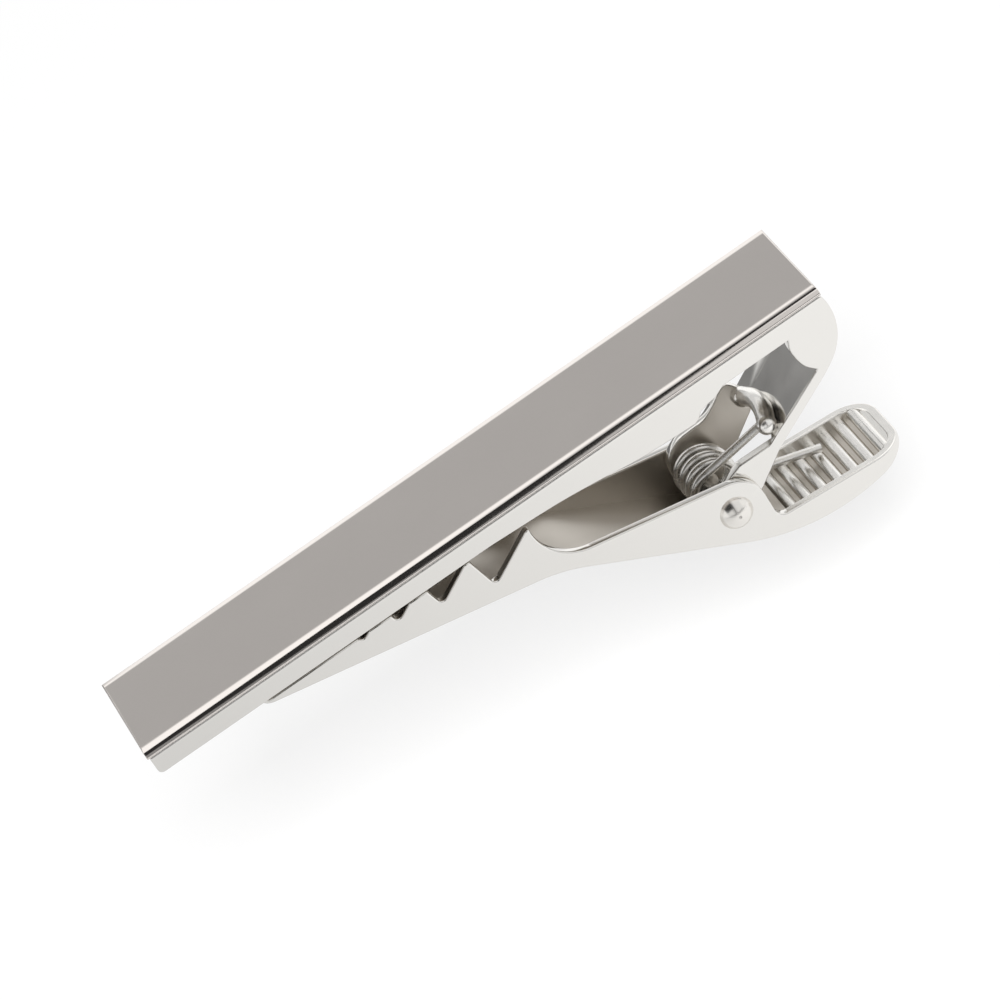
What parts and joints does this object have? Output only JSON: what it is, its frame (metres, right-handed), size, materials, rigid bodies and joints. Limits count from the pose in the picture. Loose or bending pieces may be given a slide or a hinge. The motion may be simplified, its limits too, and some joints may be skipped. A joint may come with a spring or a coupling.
{
  "type": "tie clip",
  "caption": "Flat polished bar soldered to a bent spring-jaw clip: a toothed lever with a ribbed thumb tab turns on a rivet and a torsion spring holds it shut.",
  "frame": {"origin": "centre of the bar's front face", "axes": "+X along the bar from the jaw's tip to the end bend, +Y across the bar, +Z out of the bar's front face"},
  "size_m": [0.0564, 0.011, 0.017],
  "materials": {
    "bar": "mirror polished plating",
    "solder": "dull",
    "strip": "polished plating",
    "jaw": "polished plating",
    "rivet": "polished plating",
    "spring": "drawn spring wire"
  },
  "bodies": {
    "clip_back": {"front_bar": "bar", "solder_seam": "solder", "back_strip": "strip", "torsion_spring": "spring"},
    "clip_jaw": {"jaw_lever": "jaw", "pivot_rivet": "rivet"}
  },
  "joints": [
    {"name": "jaw_hinge", "type": "hinge", "parent": "clip_back", "child": "clip_jaw", "pos_m": [0.01525, 0, -0.0123], "axis": [0, -1, 0], "range_deg": [0, 36], "stiffness_Nm_per_rad": 0.05, "springref_deg": -45.84, "deforming": ["torsion_spring"]}
  ]
}
